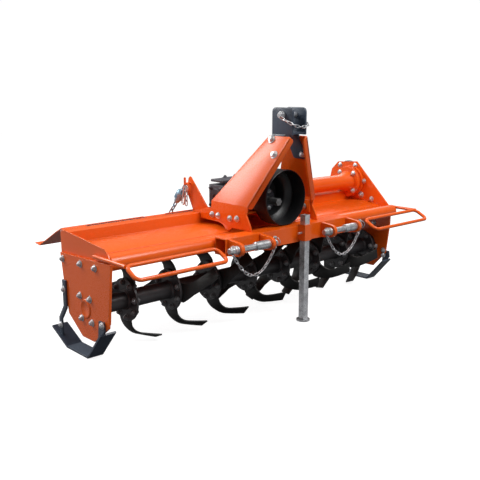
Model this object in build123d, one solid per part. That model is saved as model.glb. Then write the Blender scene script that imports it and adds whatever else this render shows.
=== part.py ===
"""Tractor-mounted rotavator, 1.8 m working width, resting on its two skids and parking stand.
Millimetres, X along the rotor, +Y to the rear, Z up. Places are measured from the front edge
of the left end plate and from the ground; everything is centred when it is written."""

from math import atan2, cos, pi, radians, sin, sqrt, tan
import os

from build123d import *

# Clearances
SEAT = 0.3            # between pieces bolted or welded to each other
RUNNING = 0.05        # radial, shaft in its bearing or pin in its barrel
SLIDING = 0.6         # each side, parking leg in its sleeve

# Rotor
ROTOR_Y = 193.0
ROTOR_Z = 194.0
ROTOR_RADIUS = 189.0
ROTOR_TUBE_D = 76.0
STUB_D = 50.0
STUB_IN_BEARING = 28.0
TUBE_END_GAP = 6.0
FLANGE_COUNT = 8
FIRST_FLANGE_GAP = 135.7
LAST_FLANGE_GAP = 25.2
FLANGE_D = 180.0
FLANGE_T = 10.0
FLANGE_SIDES = 24
FIRST_TURN = 182.0
FLANGE_STAGGER = 12.5
BLADE_T = 7.0
BLADE_W = 58.0
BLADE_ROOT_W = 84.0
BLADE_ROOT_R = 48.0
BLADE_REACH = 124.0
BLADE_BEND_R = 70.0
BLADE_TILT = 25.0
BEND_STEPS = 3

# Frame ends
GABLE_OUT_X = 890.0
GABLE_T = 6.0
END_PLATE_T = 10.0
CHAIN_PLATE_T = 8.0
CHAIN_CASE_T = 45.0
CASE_LOW_R = 86.0
CASE_TOP_R = 88.0
BEARING_D = 120.0
BEARING_T = 34.0

# Front beam, hood
TUBE_Y = 36.0
TUBE_Z = 402.0
TUBE_D = 60.0
TUBE_WALL = 5.0
SHEET_T = 4.0
HOOD_REAR_Y = 384.0
HOOD_TOP_Z = 480.0
DECK_Z = 444.0

# Hitch beam and lower link pins
BAR_SIZE = 72.0
BAR_WALL = 6.0
BAR_TOP_Z = 440.0
BAR_HALF_LENGTH = 392.0
LUG_T = 16.0
LUG_OUTER_X = 374.0
LUG_INNER_X = 197.0
LUG_NOSE_R = 28.0
PIN_Y = -125.0
PIN_Z = 404.0
PIN_D = 25.0
SLEEVE_D = 37.0
PIN_HEAD_D = 36.0
PIN_SIDES = 16

# Mast
MAST_BASE_X = 215.0
MAST_TOP_X = 53.0
MAST_FOLD_Z = 546.0
MAST_TOP_Z = 840.0
MAST_FOLD_FRONT_Y = -5.0
MAST_FOLD_REAR_Y = 237.0
MAST_TOP_FRONT_Y = -95.0
MAST_TOP_REAR_Y = 14.0
MAST_T = 8.0
LIP_W = 30.0
CLEVIS_HALF = 45.0
CLEVIS_T = 10.0
CLEVIS_RISE = 122.0
TOP_PIN_Y = -40.0
TOP_PIN_DROP = 33.0
TOP_PIN_D = 25.0

# Gearbox and drive
AXIS_Y = 315.0
AXIS_Z = 542.0
GEARBOX_BOTTOM_Z = 484.0
GEARBOX_RIGHT_X = 120.0
NOSE_FRONT_Y = 128.0
DRIVE_TUBE_D = 82.0
DRIVE_FLANGE_D = 172.0
INPUT_D = 35.0
BELL_MOUTH_Y = -25.0
BELL_MOUTH_R = 125.0
BELL_RIM_Y = 55.0
BELL_WAIST_Y = 78.0
BELL_WAIST_R = 92.0
BELL_BACK_R = 84.0
BELL_Z = 566.0
BELL_T = 4.0
BELL_SIDES = 32

# Parking stand
STAND_X = 57.0
LEG_SIZE = 30.0
LEG_WALL = 3.0
LEG_TOP_Z = 492.0
STAND_SLEEVE_T = 5.0
STAND_SLEEVE_BOTTOM_Z = 376.0
STAND_SLEEVE_TOP_Z = 448.0
STAND_PIN_D = 10.0
STAND_PIN_Z = 412.0
FOOT_D = 62.0
FOOT_T = 8.0

# Guard hoops
HOOP_D = 16.0
HOOP_SIDES = 8
HOOP_TO_PIN = 44.0
HOOP_CORNER = 24.0
HOOP_REAR_Y = -100.0
HOOP_REAR_Z = 419.0
HOOP_FRONT_Y = -172.0
HOOP_FRONT_Z = 381.0

# Skids
SKID_W = 70.0
SKID_T = 8.0
SKID_OUT_X = 920.0
SKID_UNDER = [(54, 120), (160, 0), (325, 0), (446, 60)]

# Tailboard
HINGE_Y = 402.0
HINGE_Z = 470.0
HINGE_ROD_D = 14.0
BARREL_D = 24.0
BARREL_SIDES = 12
BARREL_COUNT = 5
BARREL_LENGTH = 110.0
BOARD_HALF = 876.0

# Uprights and chains
UPRIGHT_T = 6.0
UPRIGHT_GAP = 25.0
HOOK_Y = 392.0
HOOK_Z = 616.0
BOARD_LUG_X = 204.0
BOARD_LUG_Y = 594.0
HOOK_PIN_D = 14.0
LINK_WIRE = 6.0
LINK_PLAY = 0.3
PIN_CHAIN_WIRE = 4.5
PIN_CHAIN_SAG = 118.0
PIN_CHAIN_TOP = 5.6

end_plate_face = GABLE_OUT_X + SEAT + END_PLATE_T
left_inner_x = -(GABLE_OUT_X - GABLE_T)
right_inner_x = GABLE_OUT_X - CHAIN_PLATE_T
bar_front_y = TUBE_Y - TUBE_D / 2 - SEAT - BAR_SIZE
bar_mid_z = BAR_TOP_Z - BAR_SIZE / 2
clevis_top_z = MAST_TOP_Z + CLEVIS_RISE
top_pin_z = clevis_top_z - TOP_PIN_DROP
pin_overhang = LUG_T / 2 + 46
mast_slope = Vector(MAST_BASE_X - MAST_TOP_X, 0, MAST_TOP_Z - MAST_FOLD_Z).normalized()

pieces = {}


def slab(points, x, thickness, radius=0):
    """Plate standing in YZ, its outline given as (y, z), from x towards +X."""
    line = FilletPolyline(*points, radius=radius, close=True) if radius else Polyline(*points, close=True)
    return extrude(make_face(Plane.YZ.offset(x) * line), amount=thickness, dir=(1, 0, 0))


def sheet(points, thickness, x0, x1):
    """Folded sheet along X; points run along its upper face as (y, z), thickness goes below."""
    sides = []
    for (ya, za), (yb, zb) in zip(points, points[1:]):
        length = sqrt((yb - ya) ** 2 + (zb - za) ** 2)
        sides.append(((zb - za) / length, -(yb - ya) / length))
    lower = []
    for i, (y, z) in enumerate(points):
        a, b = sides[max(i - 1, 0)], sides[min(i, len(sides) - 1)]
        scale = thickness / (1 + a[0] * b[0] + a[1] * b[1])
        lower.append((y + (a[0] + b[0]) * scale, z + (a[1] + b[1]) * scale))
    outline = Plane.YZ.offset(x0) * Polyline(*points, *reversed(lower), close=True)
    return extrude(make_face(outline), amount=x1 - x0, dir=(1, 0, 0))


def rod(x0, x1, y, z, radius):
    return Plane(origin=(x0, y, z), x_dir=(0, 1, 0), z_dir=(1, 0, 0)) * Cylinder(
        radius, x1 - x0, align=(Align.CENTER, Align.CENTER, Align.MIN))


def rod_y(y0, y1, x, z, radius):
    return Plane(origin=(x, y0, z), x_dir=(1, 0, 0), z_dir=(0, 1, 0)) * Cylinder(
        radius, y1 - y0, align=(Align.CENTER, Align.CENTER, Align.MIN))


def bar(x0, x1, y, z, radius, sides):
    """Prism along X with flat sides, such as a hexagon head."""
    return extrude(Plane(origin=(x0, y, z), x_dir=(0, 1, 0), z_dir=(1, 0, 0)) * RegularPolygon(radius, sides),
                   amount=x1 - x0)


def turned(sections, x, z, sides):
    """Many-sided closed body along Y through (y, radius) sections."""
    turns = [2 * pi * (i + 0.5) / sides for i in range(sides)]
    rings = [[(x + r * cos(a), y, z + r * sin(a)) for a in turns] for y, r in sections]
    outlines = [rings[0], rings[-1]]
    for a, b in zip(rings, rings[1:]):
        outlines += [[a[i - 1], a[i], b[i], b[i - 1]] for i in range(sides)]
    return Solid(Shell([Face(Wire.make_polygon(outline, close=True)) for outline in outlines]))


def block(x0, x1, y0, y1, z0, z1):
    return Pos((x0 + x1) / 2, (y0 + y1) / 2, (z0 + z1) / 2) * Box(x1 - x0, y1 - y0, z1 - z0)


def mirrored(shape):
    return mirror(shape, about=Plane.YZ)


def link_plane(a, b, turned):
    """Plane of one chain link: x along the link, z across it, a quarter turn on every second."""
    along = (b - a).normalized()
    side = Vector(1, 0, 0) if abs(along.X) < 0.9 else Vector(0, 1, 0)
    across = along.cross(side).normalized()
    normal = across if turned else along.cross(across).normalized()
    return Plane(origin=(a + b) / 2, x_dir=along, z_dir=normal)


def chain(points, wire=LINK_WIRE):
    """Welded links, one from each point to the next, alternately turned."""
    links = []
    for i, (a, b) in enumerate(zip(points, points[1:])):
        a, b = Vector(*a), Vector(*b)
        length = (b - a).length + 2 * wire + LINK_PLAY
        half, side, cut = length / 2, 1.7 * wire, 1.2 * wire
        outline = Polyline((half, side - cut), (half - cut, side), (cut - half, side), (-half, side - cut),
                           (-half, cut - side), (cut - half, -side), (half - cut, -side), (half, cut - side), close=True)
        ring = make_face(outline) - Rectangle(length - 2 * wire, 1.4 * wire)
        links.append(link_plane(a, b, i % 2) * extrude(ring, amount=wire / 2, both=True))
    return Compound(links)


def sagging(a, b, sag, count):
    """Points of a chain hanging from a to b, evenly spaced along it."""
    a, b = Vector(*a), Vector(*b)
    fine = [a + (b - a) * (i / 400) + Vector(0, 0, -4 * sag * (i / 400) * (1 - i / 400)) for i in range(401)]
    steps = [0.0]
    for p, q in zip(fine, fine[1:]):
        steps.append(steps[-1] + (q - p).length)
    spots = []
    for k in range(count + 1):
        goal = steps[-1] * k / count
        i = min(range(401), key=lambda j: abs(steps[j] - goal))
        spots.append(tuple(fine[i]))
    return spots


# ---- frame -------------------------------------------------------------------------------


def hood():
    start = TUBE_Y + TUBE_D / 2 + SEAT
    top = [(start, 410), (115, 421), (215, DECK_Z - 3), (310, DECK_Z), (352, HOOD_TOP_Z),
           (HOOD_REAR_Y, HOOD_TOP_Z), (HOOD_REAR_Y, HOOD_TOP_Z - 26)]
    deck = sheet(top, SHEET_T, left_inner_x + SEAT, right_inner_x - SEAT)
    return deck - rod(right_inner_x - 90, right_inner_x, AXIS_Y, AXIS_Z, DRIVE_FLANGE_D / 2 + 4)


def front_tube():
    x0, x1 = left_inner_x + SEAT, right_inner_x - SEAT
    return rod(x0, x1, TUBE_Y, TUBE_Z, TUBE_D / 2) - rod(x0, x1, TUBE_Y, TUBE_Z, TUBE_D / 2 - TUBE_WALL)


def hitch_bar():
    half = BAR_HALF_LENGTH
    y0, z0 = bar_front_y, BAR_TOP_Z - BAR_SIZE
    outer = block(-half, half, y0, y0 + BAR_SIZE, z0, BAR_TOP_Z)
    w = BAR_WALL
    return outer - block(-half, half, y0 + w, y0 + BAR_SIZE - w, z0 + w, BAR_TOP_Z - w)


def hitch_lug(x):
    face = bar_front_y - SEAT
    z0, z1 = BAR_TOP_Z - BAR_SIZE, BAR_TOP_Z - 2
    plate = slab([(face, z1), (PIN_Y, PIN_Z + LUG_NOSE_R), (PIN_Y, PIN_Z - LUG_NOSE_R), (face, z0)],
                 x - LUG_T / 2, LUG_T)
    plate += bar(x - LUG_T / 2, x + LUG_T / 2, PIN_Y, PIN_Z, LUG_NOSE_R, FLANGE_SIDES)
    return plate - rod(x - LUG_T, x + LUG_T, PIN_Y, PIN_Z, PIN_D / 2 + SEAT)


def lower_pin(x0, x1):
    """Link pin through a pair of lugs: head outside the first, sleeve beside the second."""
    mid = (x0 + x1) / 2
    pin = bar(x0 - pin_overhang, x1 + LUG_T / 2 + 32, PIN_Y, PIN_Z, PIN_D / 2, PIN_SIDES)
    pin += bar(x0 - LUG_T / 2 - 40, x0 - LUG_T / 2 - 1, PIN_Y, PIN_Z, PIN_HEAD_D / 2, 6)
    return pin + bar(mid, x1 - LUG_T / 2 - 1, PIN_Y, PIN_Z, SLEEVE_D / 2, PIN_SIDES)


def left_gable():
    return slab([(384, 391), (384, 466), (376, 480), (350, 483), (53, 455), (30, 436), (8, 405), (34, 164),
                 (140, 85), (222, 85), (322, 150), (355, 279)], -GABLE_OUT_X, GABLE_T)


def left_end_plate():
    outline = [(-3, 405), (376, 391), (358, 279), (328, 144), (224, 72), (135, 72), (30, 151)]
    return slab(outline, -GABLE_OUT_X - END_PLATE_T - SEAT, END_PLATE_T)


def chain_plate():
    outline = [(45, 410), (62, 428), (195, 558), (285, 646), (418, 636), (462, 592), (472, 549), (384, 391),
               (358, 279), (328, 144), (224, 76), (145, 76), (66, 160), (46, 326)]
    return slab(outline, right_inner_x, CHAIN_PLATE_T)


def capsule(y0, z0, r0, y1, z1, r1, x, thickness):
    """Plate round two circles and the tangents that join them."""
    lean = atan2(z1 - z0, y1 - y0)
    open_by = pi / 2 + atan2(r0 - r1, sqrt((y1 - y0) ** 2 + (z1 - z0) ** 2 - (r0 - r1) ** 2)) - pi
    corners = []
    for (y, z, r), side in (((y0, z0, r0), 1), ((y1, z1, r1), 1), ((y1, z1, r1), -1), ((y0, z0, r0), -1)):
        angle = lean + side * (pi + open_by)
        corners.append((y + r * cos(angle), z + r * sin(angle)))
    body = slab(corners, x, thickness)
    return body + rod(x, x + thickness, y0, z0, r0) + rod(x, x + thickness, y1, z1, r1)


def chain_case():
    x = GABLE_OUT_X + SEAT
    return capsule(ROTOR_Y, ROTOR_Z, CASE_LOW_R, AXIS_Y + 8, AXIS_Z + 14, CASE_TOP_R, x, CHAIN_CASE_T)


def bearing_housing(inner_x, side):
    """Rotor bearing on the inner face of an end; side is -1 on the left, 1 on the right."""
    x0 = inner_x - side * SEAT
    x1 = x0 - side * BEARING_T
    lo, hi = min(x0, x1), max(x0, x1)
    body = bar(lo, hi, ROTOR_Y, ROTOR_Z, BEARING_D / 2, FLANGE_SIDES)
    bore = sorted((x1 - side, x1 + side * (STUB_IN_BEARING + 2)))
    return body - rod(*bore, ROTOR_Y, ROTOR_Z, STUB_D / 2 + RUNNING)


def guard_hoop():
    x = -GABLE_OUT_X - SEAT - HOOP_D / 2
    x_in = -LUG_OUTER_X - pin_overhang - HOOP_TO_PIN
    loop = [(x, HOOP_REAR_Y, HOOP_REAR_Z), (x, HOOP_FRONT_Y, HOOP_FRONT_Z),
            (x_in, HOOP_FRONT_Y, HOOP_FRONT_Z), (x_in, HOOP_REAR_Y, HOOP_REAR_Z)]
    mid = sum((Vector(*p) for p in loop), Vector()) / 4
    across = (Vector(*loop[1]) - Vector(*loop[0]))
    plane = Plane(origin=mid, x_dir=(1, 0, 0), z_dir=Vector(1, 0, 0).cross(across))
    a, b, c = (x_in - x) / 2, across.length / 2, HOOP_CORNER
    corner = [(a, b - c), (a - 0.3 * c, b - 0.3 * c), (a - c, b)]
    outline = corner + [(-u, v) for u, v in reversed(corner)] + [(-u, -v) for u, v in corner]
    outline += [(u, -v) for u, v in reversed(corner)]
    path = plane * Polyline((0, b), *outline[3:], *outline[:3], (0, b))
    start = Plane(origin=path @ 0, z_dir=path % 0)
    ring = sweep(start * RegularPolygon(HOOP_D / 2, HOOP_SIDES), path=path, transition=Transition.RIGHT)
    arm = turned([(HOOP_REAR_Y - 2, HOOP_D / 2), (118, HOOP_D / 2)], x, HOOP_REAR_Z - 0.5, HOOP_SIDES)
    return ring + arm


def mast_leg_plane():
    inward = Vector(mast_slope.Z, 0, -mast_slope.X)
    return Plane(origin=(-MAST_BASE_X, 0, MAST_FOLD_Z), x_dir=(0, 1, 0), z_dir=inward)


def mast_side():
    """Bent plate: bolted foot, fold, inclined leg with a lip along its front edge."""
    rise = sqrt((MAST_BASE_X - MAST_TOP_X) ** 2 + (MAST_TOP_Z - MAST_FOLD_Z) ** 2)
    plane = mast_leg_plane()
    sign = 1 if plane.y_dir.Z > 0 else -1
    deck, beam = DECK_Z + SEAT, BAR_TOP_Z + SEAT
    foot = slab([(MAST_FOLD_FRONT_Y, MAST_FOLD_Z), (MAST_FOLD_REAR_Y, MAST_FOLD_Z), (MAST_FOLD_REAR_Y, deck + 70),
                 (268, deck + 66), (368, HOOD_TOP_Z + 4), (368, HOOD_TOP_Z + SEAT), (351, HOOD_TOP_Z + SEAT),
                 (324, deck + 13), (190, deck + 11), (160, deck + 3), (142, deck - 16), (118, deck - 20), (98, beam),
                 (-25, beam), (-15, beam + 30), (8, beam + 70)], -MAST_BASE_X, MAST_T)
    front, rear = MAST_FOLD_FRONT_Y, MAST_FOLD_REAR_Y
    leg = make_face(plane * Polyline((front, 0), (rear, 0), (MAST_TOP_REAR_Y, sign * rise),
                                     (MAST_TOP_FRONT_Y, sign * rise), close=True))
    lip = make_face(plane * Polyline((front, 0), (front + MAST_T, 0), (MAST_TOP_FRONT_Y + MAST_T, sign * rise),
                                     (MAST_TOP_FRONT_Y, sign * rise), close=True))
    inward = plane.z_dir
    return foot + extrude(leg, amount=MAST_T, dir=inward) + extrude(lip, amount=LIP_W, dir=inward)


def top_clevis():
    inner = MAST_T + SEAT
    bend_x = -CLEVIS_HALF
    plane_x = -MAST_TOP_X + inner * mast_slope.Z
    plane_z = MAST_TOP_Z - inner * mast_slope.X
    bend_z = plane_z + (bend_x - plane_x) * mast_slope.Z / mast_slope.X
    foot = (bend_x - 100 * mast_slope.X, bend_z - 100 * mast_slope.Z)
    turn = CLEVIS_T * (1 - mast_slope.Z) / mast_slope.X
    shift = (CLEVIS_T * mast_slope.Z, -CLEVIS_T * mast_slope.X)
    outline = [(bend_x, clevis_top_z), (bend_x, bend_z), foot, (foot[0] + shift[0], foot[1] + shift[1]),
               (bend_x + CLEVIS_T, bend_z - turn), (bend_x + CLEVIS_T, clevis_top_z)]
    cheek = extrude(make_face(Plane.XZ * Polyline(*outline, close=True)), amount=121, dir=(0, 1, 0))
    cheek = Pos(0, -97, 0) * cheek
    cheek -= block(-200, 0, -98, MAST_TOP_FRONT_Y + 39, 700, MAST_TOP_Z + 6)
    cheek -= rod(-60, 0, TOP_PIN_Y, top_pin_z, TOP_PIN_D / 2 + SEAT)
    top_edges = cheek.edges().filter_by(Axis.X).group_by(Axis.Z)[-1]
    cheek = chamfer(top_edges, 18)
    web = block(-CLEVIS_HALF + CLEVIS_T - 1, CLEVIS_HALF - CLEVIS_T + 1, -95, 20, MAST_TOP_Z + 8, MAST_TOP_Z + 16)
    return cheek + mirrored(cheek) + web


def top_pin():
    pin = bar(-CLEVIS_HALF - 24, CLEVIS_HALF + 26, TOP_PIN_Y, top_pin_z, TOP_PIN_D / 2, PIN_SIDES)
    return pin + bar(-CLEVIS_HALF - 13, -CLEVIS_HALF - 1, TOP_PIN_Y, top_pin_z, 18, 6)


def gearbox():
    z0 = GEARBOX_BOTTOM_Z
    body = block(-126, GEARBOX_RIGHT_X, 245, 385, z0, 631)
    body = chamfer(body.edges().filter_by(Axis.Z), 14)
    body += block(-169, -120, 262, 368, z0 + 6, 594)
    body += block(-96, 90, 262, 368, 630, 641)
    body += rod_y(NOSE_FRONT_Y, 250, 0, AXIS_Z, 55)
    bore = rod_y(NOSE_FRONT_Y - 1, NOSE_FRONT_Y + 40, 0, AXIS_Z, INPUT_D / 2 + RUNNING)
    return body - bore


def gearbox_saddle():
    inner = MAST_BASE_X - MAST_T - SEAT
    x = inner
    z1 = GEARBOX_BOTTOM_Z - SEAT
    base = block(-x, x, NOSE_FRONT_Y + 6, 336, z1 - 8, z1)
    ends = block(-x, -x + 8, 16, 224, z1 - 8, 530)
    return base + ends + mirrored(ends)


def drive_tube():
    """Cross tube: a flange on the gearbox, the tube, and a flare with a flange on the chain plate."""
    x0, x1 = GEARBOX_RIGHT_X + SEAT, right_inner_x - SEAT
    r, big = DRIVE_TUBE_D / 2, DRIVE_FLANGE_D / 2
    near = AXIS_Z - GEARBOX_BOTTOM_Z - 1
    body = bar(x0, x0 + 14, AXIS_Y, AXIS_Z, near, FLANGE_SIDES) + rod(x0, x1, AXIS_Y, AXIS_Z, r)
    body += Plane(origin=(x1 - 78, AXIS_Y, AXIS_Z), x_dir=(0, 1, 0), z_dir=(1, 0, 0)) * Cone(
        r, 62, 67, align=(Align.CENTER, Align.CENTER, Align.MIN))
    return body + bar(x1 - 12, x1, AXIS_Y, AXIS_Z, big, FLANGE_SIDES)


def guard_rim():
    """Mouth of the stub shaft's guard, set higher than the shaft to leave room for the yoke's lock."""
    span = (BELL_MOUTH_Y, BELL_RIM_Y)
    outer = turned([(y, BELL_MOUTH_R) for y in span], 0, BELL_Z, BELL_SIDES)
    return outer - turned([(y, BELL_MOUTH_R - BELL_T) for y in span], 0, BELL_Z, BELL_SIDES)


def guard_cone():
    back = NOSE_FRONT_Y - SEAT
    lip = BELL_RIM_Y + SEAT
    profile = [(lip, BELL_MOUTH_R), (BELL_WAIST_Y, BELL_WAIST_R), (back, BELL_BACK_R)]
    inside = [(lip, BELL_MOUTH_R - BELL_T), (BELL_WAIST_Y, BELL_WAIST_R - BELL_T), (back - BELL_T, BELL_BACK_R - BELL_T)]
    cup = turned(profile, 0, BELL_Z, BELL_SIDES) - turned(inside, 0, BELL_Z, BELL_SIDES)
    return cup - rod_y(back - 10, back + 10, 0, AXIS_Z, INPUT_D / 2 + 6)


def stand_y():
    return bar_front_y - SEAT - STAND_SLEEVE_T - SLIDING - LEG_SIZE / 2


def stand_sleeve():
    half = LEG_SIZE / 2 + SLIDING + STAND_SLEEVE_T
    inner = half - STAND_SLEEVE_T
    y, z0, z1 = stand_y(), STAND_SLEEVE_BOTTOM_Z, STAND_SLEEVE_TOP_Z
    tube = block(STAND_X - half, STAND_X + half, y - half, y + half, z0, z1)
    tube -= block(STAND_X - inner, STAND_X + inner, y - inner, y + inner, z0 - 1, z1 + 1)
    return tube - bar(STAND_X - 40, STAND_X + 40, y, STAND_PIN_Z, STAND_PIN_D / 2 + 2 * SEAT, PIN_SIDES)


def stand_pin():
    half = LEG_SIZE / 2 + SLIDING
    y = stand_y()
    head = bar(STAND_X - half - 26, STAND_X - half - 0.2, y, STAND_PIN_Z, STAND_PIN_D / 2, PIN_SIDES)
    tail = bar(STAND_X + half + 0.2, STAND_X + half + 20, y, STAND_PIN_Z, STAND_PIN_D / 2, PIN_SIDES)
    return Compound([head, tail])


def stand_leg():
    y, h = stand_y(), LEG_SIZE / 2
    tube = block(STAND_X - h, STAND_X + h, y - h, y + h, FOOT_T, LEG_TOP_Z)
    i = h - LEG_WALL
    tube -= block(STAND_X - i, STAND_X + i, y - i, y + i, FOOT_T, LEG_TOP_Z + 1)
    foot = Pos(STAND_X, y, 0) * Cylinder(FOOT_D / 2, FOOT_T, align=(Align.CENTER, Align.CENTER, Align.MIN))
    return tube + foot


def skid_top(y):
    """Height of the upper face of the runner's rising tail."""
    (ya, za), (yb, zb) = SKID_UNDER[-2:]
    rise = (zb - za) / (yb - ya)
    return za + (y - ya) * rise + SKID_T * sqrt(1 + rise * rise)


def skid(face_x):
    x = -SKID_OUT_X
    return sheet(list(reversed(SKID_UNDER)), SKID_T, x, x + SKID_W) + skid_lug(face_x)


def skid_lug(face_x):
    outline = [(62, 117), (96, 78.4), (84, 172), (50, 172), (46, 140)]
    return slab(outline, -face_x - SEAT - 8, 8)


def skid_strap(face_x):
    outline = [(342, 288), (366, 288), (364, 166), (412, 108), (412, skid_top(412) + SEAT),
               (388, skid_top(388) + SEAT), (388, 104), (340, 162)]
    return slab(outline, -face_x - SEAT - 8, 8)


def upright(outline):
    """Pair of plates and the pin between them that the tailboard chain hangs from."""
    x = -MAST_BASE_X + MAST_T + SEAT
    pair = slab(outline, x, UPRIGHT_T) + slab(outline, x + UPRIGHT_T + UPRIGHT_GAP, UPRIGHT_T)
    return pair + rod(x, x + 2 * UPRIGHT_T + UPRIGHT_GAP, HOOK_Y, HOOK_Z, HOOK_PIN_D / 2)


def left_upright():
    return upright([(262, GEARBOX_BOTTOM_Z), (366, GEARBOX_BOTTOM_Z), (HOOK_Y + 16, HOOK_Z + 15),
                    (HOOK_Y + 10, HOOK_Z + 23), (HOOK_Y - 6, HOOK_Z + 21)])


def right_upright():
    """The right pair stands on the hood's rear edge, as the drive tube takes the other's place."""
    foot, back = HOOD_TOP_Z + SEAT, HOOD_REAR_Y - 2
    front = AXIS_Y + DRIVE_TUBE_D / 2 + 3
    tube_top = AXIS_Z + DRIVE_TUBE_D / 2 + 6
    return mirrored(upright([(front, foot), (back, foot), (back, foot + 40), (HOOK_Y + 16, HOOK_Z + 15),
                             (HOOK_Y + 10, HOOK_Z + 23), (HOOK_Y - 14, HOOK_Z + 21), (HOOK_Y - 20, tube_top),
                             (front, tube_top)]))


def hinge_rod():
    return rod(-BOARD_HALF, BOARD_HALF, HINGE_Y, HINGE_Z, HINGE_ROD_D / 2)


def barrel_spans():
    """(start, end) of the hinge barrels from left to right, hood and board in turn."""
    step = (2 * BOARD_HALF - BARREL_LENGTH) / (BARREL_COUNT - 1)
    starts = [-BOARD_HALF + i * step for i in range(BARREL_COUNT)]
    return [(x, x + BARREL_LENGTH) for x in starts]


def hood_barrels():
    out = []
    for x0, x1 in barrel_spans()[1::2]:
        knuckle = bar(x0, x1, HINGE_Y, HINGE_Z, BARREL_D / 2, BARREL_SIDES)
        knuckle += block(x0, x1, HOOD_REAR_Y + SEAT, HINGE_Y, HINGE_Z - 5, HINGE_Z + 5)
        out.append(knuckle - rod(x0, x1, HINGE_Y, HINGE_Z, HINGE_ROD_D / 2 + SEAT))
    return Compound(out)


def board_lug(x):
    y = BOARD_LUG_Y
    outline = [(y - 16, 392), (y + 10, 379), (y + 10, 402), (y, 410), (y - 10, 410), (y - 16, 404)]
    return slab(outline, x - 5, 10)


def tailboard():
    top = [(HINGE_Y, HINGE_Z + BARREL_D / 2 + 2), (451, 461), (605, 381), (646, 385)]
    board = sheet(top, SHEET_T, -BOARD_HALF, BOARD_HALF)
    for x0, x1 in barrel_spans()[1::2]:
        board -= block(x0 - 6, x1 + 6, HINGE_Y - 20, HINGE_Y + 20, HINGE_Z - 20, HINGE_Z + 20)
    for x0, x1 in barrel_spans()[::2]:
        board += bar(x0, x1, HINGE_Y, HINGE_Z, BARREL_D / 2, BARREL_SIDES)
    for x0, x1 in barrel_spans()[::2]:
        board -= rod(x0 - 1, x1 + 1, HINGE_Y, HINGE_Z, HINGE_ROD_D / 2 + RUNNING)
    return board + board_lug(-BOARD_LUG_X) + board_lug(BOARD_LUG_X)


def chain_x():
    return MAST_BASE_X - MAST_T - SEAT - UPRIGHT_T - UPRIGHT_GAP / 2


def tail_chain():
    count = 8
    pin, low = Vector(-chain_x(), HOOK_Y, HOOK_Z), Vector(-BOARD_LUG_X, BOARD_LUG_Y - 11, 423)
    top = pin + (low - pin).normalized() * (HOOK_PIN_D / 2 + LINK_WIRE + LINK_PLAY)
    return chain([tuple(top + (low - top) * (i / count)) for i in range(count + 1)])


def pin_chain(x0, x1):
    under_head = PIN_Z - PIN_HEAD_D / 2 * cos(pi / 6)
    a, b = (x0, PIN_Y, under_head - PIN_CHAIN_TOP), (x1, PIN_Y, PIN_Z - PIN_D / 2 - PIN_CHAIN_TOP)
    return chain(sagging(a, b, PIN_CHAIN_SAG, 16), wire=PIN_CHAIN_WIRE)


# ---- rotor -------------------------------------------------------------------------------


def rotor_tube():
    x0 = left_inner_x + SEAT + BEARING_T + TUBE_END_GAP
    x1 = right_inner_x - SEAT - BEARING_T - TUBE_END_GAP
    tube = bar(x0, x1, ROTOR_Y, ROTOR_Z, ROTOR_TUBE_D / 2, FLANGE_SIDES)
    tube += rod(x0 - TUBE_END_GAP - STUB_IN_BEARING, x1 + TUBE_END_GAP + STUB_IN_BEARING, ROTOR_Y, ROTOR_Z, STUB_D / 2)
    for x in flange_places():
        tube += bar(x - FLANGE_T / 2, x + FLANGE_T / 2, ROTOR_Y, ROTOR_Z, FLANGE_D / 2, FLANGE_SIDES)
    return tube


def flange_places():
    first = left_inner_x + SEAT + BEARING_T + FIRST_FLANGE_GAP
    last = right_inner_x - SEAT - BEARING_T - LAST_FLANGE_GAP
    return [first + i * (last - first) / (FLANGE_COUNT - 1) for i in range(FLANGE_COUNT)]


def blade():
    """Blade for a flange face at x = 0: a flat root along Z, bent round towards +X.

    The bend's axis leans by BLADE_TILT, so that the foot's cutting edge runs deeper than its heel."""
    lean, half = radians(BLADE_TILT), BLADE_W / 2
    r, t, bend = sqrt(ROTOR_RADIUS ** 2 - half ** 2) - half * tan(lean), BLADE_T, BLADE_BEND_R
    steps = [i * pi / 2 / BEND_STEPS for i in range(BEND_STEPS + 1)]
    outer = [(bend - bend * cos(a), r - bend + bend * sin(a)) for a in steps]
    inner = [(bend - (bend - t) * cos(a), r - bend + (bend - t) * sin(a)) for a in reversed(steps)]
    section = Polyline((0, 0), *outer, (BLADE_REACH, r), (BLADE_REACH, r - t), *inner, (t, 0), close=True)
    bent = extrude(make_face(Plane.XZ * section), amount=r, dir=(0, cos(lean), -sin(lean)), both=True)
    root, neck, shoulder = BLADE_ROOT_W / 2, BLADE_ROOT_R + 62, BLADE_ROOT_R + 30
    outline = [(-root, BLADE_ROOT_R), (-root, shoulder), (-half, neck), (-half, 2 * r), (half, 2 * r), (half, neck),
               (root, shoulder), (root, BLADE_ROOT_R)]
    return bent & slab(outline, -1, BLADE_REACH + 2)


def blade_places():
    """(flange place, side, turn): on each flange two neighbours reach to the right and two to the left.

    The last flange has no room on its right, and the first has one blade on that side."""
    out = []
    for i, x in enumerate(flange_places()):
        for k, side in enumerate((1, 1, -1, -1)):
            spare = side > 0 and (i == FLANGE_COUNT - 1 or (i == 0 and k == 1))
            if not spare:
                out.append((x, side, FIRST_TURN - FLANGE_STAGGER * i - 90 * k))
    return out


def rotor_blades():
    by_side = {1: blade(), -1: mirrored(blade())}
    return Compound([Pos(x + side * (FLANGE_T / 2 + SEAT), ROTOR_Y, ROTOR_Z) * Rot(turn, 0, 0) * by_side[side]
                     for x, side, turn in blade_places()])


def input_shaft():
    shaft = rod_y(20, NOSE_FRONT_Y + 36, 0, AXIS_Z, INPUT_D / 2)
    for k in range(6):
        groove = block(-4, 4, 19, 96, INPUT_D / 2 - 3, INPUT_D / 2 + 3)
        shaft -= Pos(0, 0, AXIS_Z) * Rot(0, 60 * k, 0) * groove
    return shaft


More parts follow.
